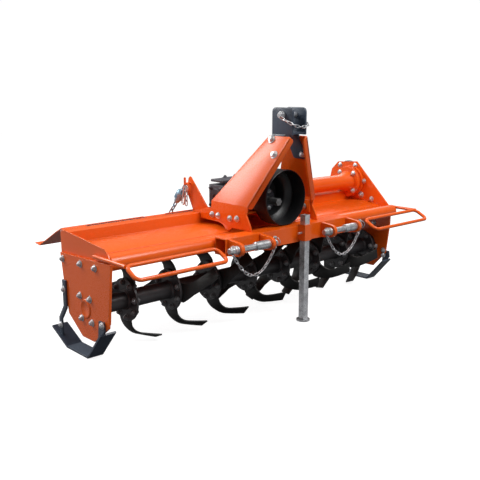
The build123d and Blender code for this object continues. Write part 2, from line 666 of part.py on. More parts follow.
pieces["hood"] = hood()
pieces["front_tube"] = front_tube()
pieces["hitch_bar"] = hitch_bar()
left_lugs = Compound([hitch_lug(-LUG_OUTER_X), hitch_lug(-LUG_INNER_X)])
pieces["left_hitch_lugs"] = left_lugs
pieces["right_hitch_lugs"] = mirrored(left_lugs)
pieces["left_link_pin"] = lower_pin(-LUG_OUTER_X, -LUG_INNER_X)
pieces["right_link_pin"] = lower_pin(LUG_INNER_X, LUG_OUTER_X)
pieces["left_gable"] = left_gable()
pieces["left_end_plate"] = left_end_plate()
pieces["chain_plate"] = chain_plate()
pieces["chain_case"] = chain_case()
pieces["left_rotor_bearing"] = bearing_housing(left_inner_x, -1)
pieces["right_rotor_bearing"] = bearing_housing(right_inner_x, 1)
pieces["left_guard_hoop"] = guard_hoop()
pieces["right_guard_hoop"] = mirrored(guard_hoop())
pieces["left_mast_side"] = mast_side()
pieces["right_mast_side"] = mirrored(mast_side())
pieces["top_clevis"] = top_clevis()
pieces["top_link_pin"] = top_pin()
pieces["gearbox"] = gearbox()
pieces["gearbox_saddle"] = gearbox_saddle()
pieces["drive_tube"] = drive_tube()
pieces["shaft_guard_rim"] = guard_rim()
pieces["shaft_guard_cone"] = guard_cone()
pieces["stand_sleeve"] = stand_sleeve()
pieces["stand_pin"] = stand_pin()
pieces["stand_leg"] = stand_leg()
pieces["left_skid"] = skid(end_plate_face)
pieces["right_skid"] = mirrored(skid(GABLE_OUT_X))
pieces["left_skid_strap"] = skid_strap(end_plate_face)
pieces["right_skid_strap"] = mirrored(skid_strap(GABLE_OUT_X))
pieces["left_chain_upright"] = left_upright()
pieces["right_chain_upright"] = right_upright()
pieces["hinge_rod"] = hinge_rod()
pieces["hood_hinge_barrels"] = hood_barrels()
pieces["tailboard"] = tailboard()
pieces["left_tail_chain"] = tail_chain()
pieces["right_tail_chain"] = mirrored(tail_chain())
pieces["left_pin_chain"] = pin_chain(-LUG_OUTER_X - 30, -LUG_INNER_X + 24)
pieces["right_pin_chain"] = pin_chain(LUG_INNER_X - 30, LUG_OUTER_X + 24)
pieces["rotor_tube"] = rotor_tube()
pieces["rotor_blades"] = rotor_blades()
pieces["input_shaft"] = input_shaft()

whole = Compound(list(pieces.values())).bounding_box()
centred = Pos(-whole.center().X, -whole.center().Y, -whole.min.Z)
os.makedirs("parts", exist_ok=True)
for name, shape in pieces.items():
    export_step(centred * shape, f"parts/{name}.step")
print("shift", [round(v, 4) for v in centred.position], "size", whole.size)
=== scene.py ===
from math import atan2, cos, pi, radians, sin, sqrt, tan

import bmesh
import bpy
from mathutils import Matrix, Vector


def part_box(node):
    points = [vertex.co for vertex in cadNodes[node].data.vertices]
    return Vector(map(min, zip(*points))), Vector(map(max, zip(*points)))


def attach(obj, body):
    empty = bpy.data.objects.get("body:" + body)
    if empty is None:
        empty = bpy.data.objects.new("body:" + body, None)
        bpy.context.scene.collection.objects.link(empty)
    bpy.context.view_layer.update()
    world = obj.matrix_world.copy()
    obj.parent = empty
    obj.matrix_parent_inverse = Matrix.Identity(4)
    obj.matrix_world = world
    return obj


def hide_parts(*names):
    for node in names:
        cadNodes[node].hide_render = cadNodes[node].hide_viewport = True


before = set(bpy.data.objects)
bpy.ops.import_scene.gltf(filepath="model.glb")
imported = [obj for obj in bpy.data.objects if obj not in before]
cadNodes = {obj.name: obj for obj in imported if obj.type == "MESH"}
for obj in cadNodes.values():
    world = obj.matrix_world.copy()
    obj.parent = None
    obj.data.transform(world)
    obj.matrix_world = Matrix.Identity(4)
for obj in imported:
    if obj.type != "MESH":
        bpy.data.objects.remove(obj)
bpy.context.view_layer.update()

# the hitch bar is centred on the machine, and its rear face is 5.7 mm behind the line that y is counted from
beamRear = 0.0057
beamLow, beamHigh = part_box("hitch_bar")
zeroX = (beamLow.x + beamHigh.x) / 2
zeroY = beamHigh.y - beamRear
acrossX, alongY, upZ = Vector((1, 0, 0)), Vector((0, 1, 0)), Vector((0, 0, 1))


def at(x, y, z):
    # a place given in mm
    return Vector((zeroX + x / 1000, zeroY + y / 1000, z / 1000))


# finishes
finishOfSlot = {
    "orange_paint": "orangeEnamel",
    "dark_paint": "darkEnamel",
    "black_steel": "blackedSteel",
    "zinc_steel": "zincPlate",
    "cast_housing": "castIron",
    "guard_plastic": "mouldedGuard",
}
finishes = {}


def makeFinish(name, look):
    # one paint or metal: two tones drifting over the part, a fine grain, softened edges, and lighter edges that are
    # part wear and part painted highlight
    material = bpy.data.materials.new(name)
    material.use_nodes = True
    tree = material.node_tree
    nodes, wire = tree.nodes, tree.links.new
    shader = nodes["Principled BSDF"]
    shader.inputs["Metallic"].default_value = look["metal"]
    shader.inputs["Coat Weight"].default_value = look["coat"]
    shader.inputs["Coat Roughness"].default_value = look["coatRough"]
    shader.inputs["IOR"].default_value = 1.5
    place = nodes.new("ShaderNodeTexCoord")
    drift = nodes.new("ShaderNodeTexNoise")
    drift.inputs["Scale"].default_value = look["driftSize"]
    drift.inputs["Detail"].default_value = 5
    wire(place.outputs["Object"], drift.inputs["Vector"])
    tones = nodes.new("ShaderNodeValToRGB")
    tones.color_ramp.elements[0].position = 0.32
    tones.color_ramp.elements[0].color = (*look["dark"], 1)
    tones.color_ramp.elements[1].position = 0.68
    tones.color_ramp.elements[1].color = (*look["light"], 1)
    wire(drift.outputs["Fac"], tones.inputs["Fac"])
    grain = nodes.new("ShaderNodeTexNoise")
    grain.inputs["Scale"].default_value = look["grainSize"]
    grain.inputs["Detail"].default_value = 3
    wire(place.outputs["Object"], grain.inputs["Vector"])
    softEdge = nodes.new("ShaderNodeBevel")
    softEdge.samples = 4
    softEdge.inputs["Radius"].default_value = look["edge"]
    relief = nodes.new("ShaderNodeBump")
    relief.inputs["Strength"].default_value = look["relief"]
    relief.inputs["Distance"].default_value = look["depth"]
    wire(grain.outputs["Fac"], relief.inputs["Height"])
    wire(softEdge.outputs["Normal"], relief.inputs["Normal"])
    wire(relief.outputs["Normal"], shader.inputs["Normal"])
    # edges lightened where the softened normal leaves the flat one: partly wear from handling, partly a painted
    # highlight
    flat = nodes.new("ShaderNodeNewGeometry")
    turn = nodes.new("ShaderNodeVectorMath")
    turn.operation = "DOT_PRODUCT"
    wire(softEdge.outputs["Normal"], turn.inputs[0])
    wire(flat.outputs["Normal"], turn.inputs[1])
    edgeWearAndSheen = nodes.new("ShaderNodeMapRange")
    edgeWearAndSheen.inputs["From Min"].default_value = 0.995
    edgeWearAndSheen.inputs["From Max"].default_value = 0.90
    edgeWearAndSheen.inputs["To Max"].default_value = look["edgeWearAndSheen"]
    wire(turn.outputs["Value"], edgeWearAndSheen.inputs["Value"])
    patchy = nodes.new("ShaderNodeMath")
    patchy.operation = "MULTIPLY"
    wire(edgeWearAndSheen.outputs["Result"], patchy.inputs[0])
    wire(drift.outputs["Fac"], patchy.inputs[1])
    wornAndSheenEdges = nodes.new("ShaderNodeMix")
    wornAndSheenEdges.data_type = "RGBA"
    wornAndSheenEdges.inputs["B"].default_value = (*look["edgeWearAndSheenTone"], 1)
    wire(patchy.outputs["Value"], wornAndSheenEdges.inputs["Factor"])
    wire(tones.outputs["Color"], wornAndSheenEdges.inputs["A"])
    wire(wornAndSheenEdges.outputs["Result"], shader.inputs["Base Color"])
    gloss = nodes.new("ShaderNodeMapRange")
    gloss.inputs["From Min"].default_value = 0.3
    gloss.inputs["From Max"].default_value = 0.7
    gloss.inputs["To Min"].default_value = look["rough"][0]
    gloss.inputs["To Max"].default_value = look["rough"][1]
    wire(grain.outputs["Fac"], gloss.inputs["Value"])
    wire(gloss.outputs["Result"], shader.inputs["Roughness"])
    finishes[name] = material


# each look's edge tone is a lighter colour laid along edges, part wear and part painted highlight
looks = {
    "orangeEnamel": {"dark": (0.78, 0.098, 0.003), "light": (0.86, 0.126, 0.005), "metal": 0.0, "coat": 0.05,
                     "coatRough": 0.16, "rough": (0.24, 0.32), "driftSize": 2.5, "grainSize": 420, "relief": 0.10,
                     "depth": 0.0006, "edge": 0.0018, "edgeWearAndSheen": 0.5, "edgeWearAndSheenTone": (0.95, 0.32, 0.12)},
    "darkEnamel": {"dark": (0.026, 0.038, 0.060), "light": (0.052, 0.074, 0.112), "metal": 0.0, "coat": 0.35,
                   "coatRough": 0.18, "rough": (0.34, 0.52), "driftSize": 7.0, "grainSize": 300, "relief": 0.2,
                   "depth": 0.0006, "edge": 0.0016, "edgeWearAndSheen": 0.9, "edgeWearAndSheenTone": (0.17, 0.20, 0.25)},
    "blackedSteel": {"dark": (0.004, 0.004, 0.004), "light": (0.014, 0.013, 0.012), "metal": 0.0, "coat": 0.1,
                     "coatRough": 0.3, "rough": (0.40, 0.60), "driftSize": 12.0, "grainSize": 260, "relief": 0.3,
                     "depth": 0.0008, "edge": 0.0010, "edgeWearAndSheen": 0.7, "edgeWearAndSheenTone": (0.09, 0.08, 0.08)},
    "rotorPaint": {"dark": (0.022, 0.020, 0.022), "light": (0.060, 0.055, 0.058), "metal": 0.0, "coat": 0.3,
                   "coatRough": 0.25, "rough": (0.34, 0.55), "driftSize": 9.0, "grainSize": 260, "relief": 0.3,
                   "depth": 0.0008, "edge": 0.0016, "edgeWearAndSheen": 1.0, "edgeWearAndSheenTone": (0.20, 0.20, 0.21)},
    "oiledSteel": {"dark": (0.10, 0.10, 0.10), "light": (0.24, 0.24, 0.25), "metal": 0.35, "coat": 0.1,
                   "coatRough": 0.3, "rough": (0.28, 0.48), "driftSize": 60.0, "grainSize": 300, "relief": 0.2,
                   "depth": 0.0005, "edge": 0.0008, "edgeWearAndSheen": 0.8, "edgeWearAndSheenTone": (0.4, 0.4, 0.41)},
    "zincPlate": {"dark": (0.50, 0.51, 0.53), "light": (0.80, 0.81, 0.83), "metal": 0.78, "coat": 0.0,
                  "coatRough": 0.2, "rough": (0.22, 0.42), "driftSize": 55.0, "grainSize": 500, "relief": 0.12,
                  "depth": 0.0004, "edge": 0.0006, "edgeWearAndSheen": 0.6, "edgeWearAndSheenTone": (0.9, 0.9, 0.92)},
    "blueZinc": {"dark": (0.12, 0.24, 0.36), "light": (0.36, 0.54, 0.66), "metal": 0.4, "coat": 0.1,
                 "coatRough": 0.2, "rough": (0.28, 0.46), "driftSize": 40.0, "grainSize": 500, "relief": 0.15,
                 "depth": 0.0004, "edge": 0.0008, "edgeWearAndSheen": 0.5, "edgeWearAndSheenTone": (0.7, 0.8, 0.88)},
    "castIron": {"dark": (0.046, 0.044, 0.054), "light": (0.084, 0.080, 0.096), "metal": 0.0, "coat": 0.15,
                 "coatRough": 0.3, "rough": (0.42, 0.62), "driftSize": 9.0, "grainSize": 380, "relief": 0.55,
                 "depth": 0.0012, "edge": 0.0022, "edgeWearAndSheen": 0.8, "edgeWearAndSheenTone": (0.16, 0.16, 0.18)},
    "mouldedGuard": {"dark": (0.005, 0.005, 0.006), "light": (0.012, 0.012, 0.013), "metal": 0.0, "coat": 0.0,
                     "coatRough": 0.3, "rough": (0.34, 0.44), "driftSize": 4.0, "grainSize": 700, "relief": 0.15,
                     "depth": 0.0004, "edge": 0.0012, "edgeWearAndSheen": 0.5, "edgeWearAndSheenTone": (0.05, 0.05, 0.055)},
}
for finishName, finishLook in looks.items():
    makeFinish(finishName, finishLook)

for cadPiece in cadNodes.values():
    for place, old in enumerate(cadPiece.data.materials):
        slotName = old.name.split(".")[0] if old else ""
        if slotName in finishOfSlot:
            cadPiece.data.materials[place] = finishes[finishOfSlot[slotName]]
        else:
            print("no finish for", cadPiece.name, slotName)
print("finishes ready")


# ways of working
def pick(piece):
    # only this piece selected and active
    bpy.ops.object.select_all(action="DESELECT")
    piece.select_set(True)
    bpy.context.view_layer.objects.active = piece


def hold(piece):
    # its place, turn and size go into the mesh
    pick(piece)
    bpy.ops.object.transform_apply(location=True, rotation=True, scale=True)
    return piece


def openMesh(piece):
    pick(piece)
    bpy.ops.object.mode_set(mode="EDIT")
    bpy.ops.mesh.select_all(action="SELECT")


def closeMesh(weld=0):
    # points closer than the weld distance become one, and all faces look outwards
    bpy.ops.mesh.select_all(action="SELECT")
    if weld:
        bpy.ops.mesh.remove_doubles(threshold=weld)
    bpy.ops.mesh.normals_make_consistent(inside=False)
    bpy.ops.object.mode_set(mode="OBJECT")


def drawOut(move, edges=False):
    if edges:
        bpy.ops.mesh.extrude_edges_move(TRANSFORM_OT_translate={"value": move})
    else:
        bpy.ops.mesh.extrude_region_move(TRANSFORM_OT_translate={"value": move})


def chooseFaces(piece, test):
    bpy.ops.mesh.select_mode(type="FACE")
    mesh = bmesh.from_edit_mesh(piece.data)
    for face in mesh.faces:
        face.select_set(bool(test(face.calc_center_median(), face.normal)))
    bmesh.update_edit_mesh(piece.data)


def aim(way, axis="Z"):
    return Vector(way).to_track_quat(axis, "Y")


def makeBlock(low, high):
    bpy.ops.mesh.primitive_cube_add(size=1, location=(low + high) / 2, scale=high - low)
    return hold(bpy.context.object)


def turnProfile(start, along, steps, sides=48, hollow=False):
    # a disc drawn out along a line: each step is (distance, radius) in mm, or with a third number, how far it drops
    along = Vector(along).normalized()
    distance, radius, drop = steps[0][0], steps[0][1], 0
    bpy.ops.mesh.primitive_circle_add(
        vertices=sides, radius=radius / 1000, fill_type="NOTHING" if hollow else "NGON",
        location=start + along * distance / 1000, rotation=aim(along).to_euler())
    piece = hold(bpy.context.object)
    openMesh(piece)
    for step in steps[1:]:
        newDrop = step[2] if len(step) > 2 else 0
        drawOut(along * (step[0] - distance) / 1000 - upZ * (newDrop - drop) / 1000, hollow)
        distance, drop = step[0], newDrop
        if step[1] != radius:
            middle = start + along * distance / 1000 - upZ * drop / 1000
            bpy.ops.transform.resize(value=(step[1] / radius,) * 3, center_override=middle)
            radius = step[1]
    closeMesh(0.00002)
    return piece


def makePlate(outline, through, edge=0.8, soft=2):
    # flat plate: its corners in order, pulled through its thickness
    bpy.ops.mesh.primitive_circle_add(vertices=len(outline), radius=0.1, fill_type="NGON")
    plate = bpy.context.object
    for corner, place in zip(plate.data.vertices, outline):
        corner.co = place
    openMesh(plate)
    drawOut(through)
    closeMesh()
    return softenEdges(plate, edge, soft)


def roundCorner(before, corner, after, radius, steps=5):
    # points of an arc that takes the place of a plate's corner
    toBefore, toAfter = (before - corner).normalized(), (after - corner).normalized()
    half = toBefore.angle(toAfter) / 2
    middle = corner + (toBefore + toAfter).normalized() * radius / 1000 / sin(half)
    first = corner + toBefore * radius / 1000 / tan(half) - middle
    last = corner + toAfter * radius / 1000 / tan(half) - middle
    axis = first.cross(last).normalized()
    sweep = first.angle(last)
    return [middle + Matrix.Rotation(sweep * i / steps, 3, axis) @ first for i in range(steps + 1)]


def roundedOutline(corners, radii):
    # radii in mm, one for each corner, and 0 for a corner that stays sharp
    out = []
    for i, corner in enumerate(corners):
        if radii[i]:
            out += roundCorner(corners[i - 1], corner, corners[(i + 1) % len(corners)], radii[i])
        else:
            out.append(corner)
    return out


def softenEdges(piece, width, segments=2, angle=30):
    pick(piece)
    bevel = piece.modifiers.new("softEdge", "BEVEL")
    bevel.width = width / 1000
    bevel.segments = segments
    bevel.limit_method = "ANGLE"
    bevel.angle_limit = radians(angle)
    bpy.ops.object.modifier_apply(modifier=bevel.name)
    return piece


def combine(parts):
    bpy.ops.object.select_all(action="DESELECT")
    for part in parts:
        part.select_set(True)
    bpy.context.view_layer.objects.active = parts[0]
    if len(parts) > 1:
        bpy.ops.object.join()
    return bpy.context.view_layer.objects.active


def copyTo(master, place):
    # a copy with a mesh of its own, set down by a matrix
    twin = master.copy()
    twin.data = master.data.copy()
    twin.data.transform(place)
    bpy.context.scene.collection.objects.link(twin)
    return twin


def complete(piece, name, finishName, body, replaced=(), smooth=38):
    hold(piece)
    piece.name = name
    piece.data.name = name
    piece.data.materials.clear()
    piece.data.materials.append(finishes[finishName])
    bpy.ops.object.shade_smooth_by_angle(angle=radians(smooth))
    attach(piece, body)
    if replaced:
        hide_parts(*replaced)
    return piece


# bolts: hexagon, washer and the bolt's end, all radii and heights in mm
boltSizes = {
    "small": {"across": 8.5, "head": 6, "washer": 10.5, "bolt": 4.2, "end": 3},
    "medium": {"across": 11, "head": 8, "washer": 14.5, "bolt": 6, "end": 4},
    "short": {"across": 11, "head": 6.4, "washer": 14.5, "bolt": 6, "end": 2},
    "large": {"across": 14, "head": 10, "washer": 18, "bolt": 8, "end": 5},
}
washerThick = 2.4
boltTurn = 0.71  # radians from one bolt to the next
boltMasters = {}


def makeBolt(size, look):
    headTop = washerThick + look["head"]
    washer = turnProfile(Vector(), upZ, [(0, look["washer"]), (washerThick - 0.4, look["washer"]),
                                         (washerThick, look["washer"] - 0.6)], 20)
    nut = turnProfile(Vector(), upZ, [(washerThick - 0.2, look["across"]), (headTop - 1.6, look["across"]),
                                      (headTop, look["across"] - 1.8)], 6)
    end = turnProfile(Vector(), upZ, [(headTop - 1, look["bolt"]), (headTop + look["end"] - 1, look["bolt"]),
                                      (headTop + look["end"], look["bolt"] - 1)], 14)
    boltMasters[size] = combine([softenEdges(nut, 0.5, 1), washer, end])


for boltSize, boltLook in boltSizes.items():
    makeBolt(boltSize, boltLook)


def placeBolts(name, size, spots, body="frame", finishName="zincPlate"):
    # spots are (place, direction the bolt points)
    parts = []
    for i, (spot, way) in enumerate(spots):
        turn = aim(way).to_matrix().to_4x4() @ Matrix.Rotation(boltTurn * i, 4, "Z")
        parts.append(copyTo(boltMasters[size], Matrix.Translation(spot) @ turn))
    return complete(combine(parts), name, finishName, body)


# chains
def makeChain(points, wireMm):
    # welded links from point to point, every second one turned a quarter
    wire, wide = wireMm / 1000, 1.2 * wireMm / 1000
    links = []
    for i, (a, b) in enumerate(zip(points, points[1:])):
        along = (b - a).normalized()
        stretch = (b - a).length / 2 + wire / 2 - wide
        bpy.ops.mesh.primitive_torus_add(major_radius=wide, minor_radius=wire / 2, major_segments=16,
                                         minor_segments=8)
        link = bpy.context.object
        for point in link.data.vertices:
            if abs(point.co.x) > 0.00001:
                point.co.x += stretch if point.co.x > 0 else -stretch
        across = along.cross(acrossX if abs(along.x) < 0.9 else alongY).normalized()
        normal = across if i % 2 else along.cross(across).normalized()
        basis = Matrix((along, normal.cross(along), normal)).transposed().to_4x4()
        link.data.transform(Matrix.Translation((a + b) / 2) @ basis)
        links.append(link)
    return combine(links)


def evenPoints(fine, count):
    # those of a line's close points that lie nearest to even steps along it
    run = [0.0]
    for p, q in zip(fine, fine[1:]):
        run.append(run[-1] + (q - p).length)
    return [fine[min(range(len(fine)), key=lambda j: abs(run[j] - run[-1] * k / count))] for k in range(count + 1)]


def sagBetween(a, b, sag, count):
    # a chain that hangs between two places
    shares = [i / 400 for i in range(401)]
    return evenPoints([a.lerp(b, s) - upZ * (4 * sag / 1000 * s * (1 - s)) for s in shares], count)


def spacedAlong(line, count):
    # a chain laid along a line of corners
    fine = [a.lerp(b, i / 100) for a, b in zip(line, line[1:]) for i in range(100)] + [line[-1]]
    return evenPoints(fine, count)


def makeRing(spot, way, radius, wireMm):
    bpy.ops.mesh.primitive_torus_add(major_radius=radius / 1000, minor_radius=wireMm / 2000, major_segments=32,
                                     minor_segments=8, location=spot, rotation=aim(way).to_euler())
    return hold(bpy.context.object)


def ringOf(count, radius, first=0):
    # places evenly round a ring, as pairs in mm
    turns = [radians(360 / count * k + first) for k in range(count)]
    return [(radius * cos(turn), radius * sin(turn)) for turn in turns]


# rotor
rotor = {"y": 193, "z": 194, "tube": 38, "stub": 25, "left": -843.7, "right": 841.7, "stubOut": 34, "flanges": 8,
         "firstX": -714, "pitch": 219.5, "flange": 90, "thick": 10, "rim": 1.2, "weld": 5, "firstTurn": 182,
         "stagger": 12.5}
flangeXs = [rotor["firstX"] + i * rotor["pitch"] for i in range(rotor["flanges"])]
rotorLine = at(0, rotor["y"], rotor["z"])


def makeRotorTube():
    tube, stub, out, left, right = (rotor[key] for key in ("tube", "stub", "stubOut", "left", "right"))
    profile = [(left - out, stub - 1), (left - out + 1, stub), (left, stub), (left, tube - 2), (left + 2, tube),
               (right - 2, tube), (right, tube - 2), (right, stub), (right + out - 1, stub),
               (right + out, stub - 1)]
    return turnProfile(rotorLine, acrossX, profile)


def makeFlange(x):
    # disc with a weld round its foot on both faces
    half, radius, rim, tube, leg = (rotor[key] for key in ("thick", "flange", "rim", "tube", "weld"))
    half /= 2
    disc = [(x - half, tube - 1), (x - half, radius - rim), (x - half + rim, radius), (x + half - rim, radius),
            (x + half, radius - rim), (x + half, tube - 1)]
    parts = [turnProfile(rotorLine, acrossX, disc)]
    for side in (-1, 1):
        weld = [(half, tube + leg), (half + 2, tube + leg - 1), (half + leg, tube + 1), (half + leg, tube - 1)]
        parts.append(turnProfile(rotorLine, acrossX, [(x + side * out, high) for out, high in weld]))
    return parts


tubeParts = [makeRotorTube()]
for flangeX in flangeXs:
    tubeParts += makeFlange(flangeX)
complete(combine(tubeParts), "rotorShaft", "rotorPaint", "rotor", ["rotor_tube"])
print("rotor shaft ready")

blade = {"thick": 7, "foot": 54, "rootWidth": 84, "root": 48, "shoulder": 92, "neck": 138, "reach": 124, "bend": 70,
         "bendAngle": 72, "tilt": 9, "tip": 189, "bolt": (26, 69), "rootTurn": 11, "footTurn": -17, "sweepFrom": 85,
         "sweepOver": 100, "footShare": 0.38}


def bendBlade():
    # a strip that stands up from its root, bends over and runs out to the tip radius
    lean, half, angle = radians(blade["tilt"]), blade["foot"] / 2, radians(blade["bendAngle"])
    bend, thick = blade["bend"] / 1000, blade["thick"] / 1000
    footRun = (blade["reach"] / 1000 - bend * (1 - cos(angle))) / sin(angle)
    crest = (sqrt(blade["tip"] ** 2 - half ** 2) - half * tan(lean)) / 1000
    start = crest - bend * sin(angle) - footRun * cos(angle)
    strip = makeBlock(Vector((0, -0.06, blade["root"] / 1000)), Vector((thick, 0.06, start)))
    for corner in strip.data.vertices:
        if corner.co.z > start - 0.001:
            corner.co.z -= corner.co.y * tan(lean)
    openMesh(strip)
    chooseFaces(strip, lambda centre, normal: normal.z > 0.5)
    bpy.ops.mesh.spin(steps=10, angle=-angle, center=(bend, 0, start), axis=(0, cos(lean), -sin(lean)))
    for k in range(3):
        drawOut(Vector((sin(angle), cos(angle) * sin(lean), cos(angle) * cos(lean))) * footRun / 3)
    closeMesh(0.00001)
    return strip


def makeStamp():
    # the outline that a blade is cut to: wide root, shoulders, narrower blade
    rootHalf = blade["rootWidth"] / 2000
    stamp = makeBlock(Vector((-0.02, -rootHalf, blade["root"] / 1000)),
                      Vector((0.15, rootHalf, blade["shoulder"] / 1000)))
    openMesh(stamp)
    chooseFaces(stamp, lambda centre, normal: normal.z > 0.5)
    drawOut((0, 0, (blade["neck"] - blade["shoulder"]) / 1000))
    bpy.ops.transform.resize(value=(1, blade["foot"] / blade["rootWidth"], 1), center_override=(0, 0, 0))
    drawOut((0, 0, 0.2))
    closeMesh()
    return stamp


def makeBlade():
    piece, stamp = bendBlade(), makeStamp()
    pick(piece)
    cut = piece.modifiers.new("stamp", "BOOLEAN")
    cut.operation = "INTERSECT"
    cut.object = stamp
    cut.solver = "EXACT"
    bpy.ops.object.modifier_apply(modifier=cut.name)
    bpy.data.objects.remove(stamp)
    softenEdges(piece, 1.3, 2, 40)
    # the shank sweeps round the shaft as it goes out and over
    for point in piece.data.vertices:
        outward = min(max((point.co.z * 1000 - blade["sweepFrom"]) / blade["sweepOver"], 0), 1)
        over = min(max(point.co.x * 1000 / blade["reach"], 0), 1)
        share = outward + (over - outward) * blade["footShare"]
        turn = blade["rootTurn"] + (blade["footTurn"] - blade["rootTurn"]) * share
        point.co = Matrix.Rotation(radians(turn), 3, "X") @ point.co
    return piece


def placeBlades():
    # four to a flange, a quarter turn apart, two bent each way, and fewer on the first and the last flange
    right = makeBlade()
    left = copyTo(right, Matrix.Scale(-1, 4, acrossX))
    openMesh(left)
    closeMesh()
    half, rootTurn = rotor["thick"] / 2000, Matrix.Rotation(radians(blade["rootTurn"]), 3, "X")
    seat = 0.0003
    bladeBack = half + seat + blade["thick"] / 1000
    placed, bolts = [], []
    for i, flangeX in enumerate(flangeXs):
        first, last = i == 0, i == rotor["flanges"] - 1
        face = -1 if last else 1  # the face of the flange that its blades stand on
        for k, side in enumerate((1, 1, -1, -1)):
            turn = Matrix.Rotation(radians(rotor["firstTurn"] - rotor["stagger"] * i - 90 * k), 4, "X")
            place = Matrix.Translation(at(flangeX, rotor["y"], rotor["z"])) @ turn
            spare = side > 0 and (last or (first and k == 1))
            if not spare:
                near = half + seat if side == face else bladeBack
                standing = place @ Matrix.Translation((face * near, 0, 0))
                placed.append(copyTo(right if side > 0 else left, standing))
            nutX = face * (half if spare else bladeBack)
            for across in (-1, 1):
                spot = rootTurn @ Vector((0, across * blade["bolt"][0] / 1000, blade["bolt"][1] / 1000))
                bolts.append((place @ (spot + acrossX * nutX), (face, 0, 0)))
                bolts.append((place @ (spot - acrossX * face * half), (-face, 0, 0)))
    complete(combine(placed), "rotorBlades", "blackedSteel", "rotor", ["rotor_blades"])
    bpy.data.objects.remove(right)
    bpy.data.objects.remove(left)
    placeBolts("bladeBolts", "medium", bolts, "rotor", "oiledSteel")


placeBlades()
print("blades ready")

# shaft guard, its two profiles drawn as (distance, radius), the hole lower than the rest
guard = {"z": 566, "axisZ": 542, "hole": 23.5}
guardLine = at(0, 0, guard["z"])
drop = guard["z"] - guard["axisZ"]
rimProfile = [(-25, 122), (-24, 124), (-22, 125), (-20, 125), (-16, 125), (53, 125), (55, 124.5), (55, 121.5),
              (53, 121), (-23, 121), (-25, 122)]
coneProfile = [(55.3, 121.5), (55.3, 124.5), (58, 121), (74, 97), (78, 93), (82, 91.5), (124, 85), (127.7, 82),
               (127.7, guard["hole"], drop), (123.7, guard["hole"], drop), (123.7, 80), (121, 81), (82, 87.5),
               (76, 90), (72, 93.5), (56, 117.5), (55.3, 121.5)]
for name, profile, replaced in (("guardRim", rimProfile, "shaft_guard_rim"),
                                ("guardCone", coneProfile, "shaft_guard_cone")):
    complete(turnProfile(guardLine, alongY, profile, 96, hollow=True), name, "mouldedGuard", "frame", [replaced])
shaftPaints = cadNodes["input_shaft"].data.materials
for slotIndex in range(len(shaftPaints)):
    shaftPaints[slotIndex] = finishes["oiledSteel"]
print("shaft guard ready")

# gearbox
gearbox = {"left": -50, "right": 120, "front": 246, "back": 372, "bottom": 484, "top": 614, "cover": 12,
           "coverIn": 6, "cap": 76, "capIn": 12}
shaftLine = at(0, 0, guard["axisZ"])
coverTop, capFace = gearbox["top"] + gearbox["cover"], gearbox["left"] - gearbox["cap"]
caseMidY = (gearbox["front"] + gearbox["back"]) / 2


def makeGearbox():
    case = makeBlock(at(gearbox["left"], gearbox["front"], gearbox["bottom"]),
                     at(gearbox["right"], gearbox["back"], gearbox["top"]))
    openMesh(case)
    # cover on top, bearing cap on the left
    for way, margin, rise in ((upZ, gearbox["coverIn"], gearbox["cover"]),
                              (-acrossX, gearbox["capIn"], gearbox["cap"])):
        chooseFaces(case, lambda centre, normal: normal.dot(way) > 0.9)
        bpy.ops.mesh.inset(thickness=margin / 1000, depth=0)
        drawOut(way * rise / 1000)
    bpy.ops.object.mode_set(mode="OBJECT")
    return softenEdges(case, 6, 3, 40)


def makeNose():
    # round nose that carries the guard, with ribs to the case
    parts = [turnProfile(shaftLine, alongY, [(128.2, 48), (128.2, 53), (130, 55), (205, 55), (225, 62),
                                             (246, 68)], 64)]
    for k in range(6):
        rib = makeBlock(Vector((-0.004, 0.150, 0.045)), Vector((0.004, 0.247, 0.066)))
        for corner in rib.data.vertices:
            if corner.co.y < 0.16 and corner.co.z > 0.06:
                corner.co.z = 0.054
        rib.data.transform(Matrix.Translation(shaftLine) @ Matrix.Rotation(radians(60 * k + 30), 4, "Y"))
        parts.append(softenEdges(rib, 1.5, 2))
    return parts


complete(combine([makeGearbox()] + makeNose()), "gearCase", "castIron", "frame", ["gearbox"])
plug = turnProfile(at(2, caseMidY, coverTop - 0.4), upZ,
                   [(0, 17), (3, 17), (4, 16), (4, 13), (14, 13), (16, 11)], 6)
capRing = turnProfile(at(capFace + 0.2, caseMidY, 545), -acrossX, [(0, 40), (5, 39), (6, 38), (6, 14), (3, 12)])
complete(combine([plug, capRing]), "gearCasePlug", "castIron", "frame")
caseBolts = [(at(x, caseMidY + y, coverTop - 0.2), upZ) for x in (-30, 34, 98) for y in (-45, 45)]
caseBolts += [(at(capFace, caseMidY + y, z), -acrossX) for z in (506, 586) for y in (-37, 37)]
placeBolts("gearCaseBolts", "small", caseBolts, "frame", "castIron")
bearingCap = turnProfile(shaftLine, alongY,
                         [(123.6, 60), (110, 60), (108, 58), (108, 34), (104, 33), (104, 20)], 64)
complete(bearingCap, "shaftBearingCap", "castIron", "frame")
placeBolts("shaftBearingBolts", "small", [(at(x, 108, guard["axisZ"] + z), -alongY) for x, z in ringOf(6, 45)])
print("gearbox ready")

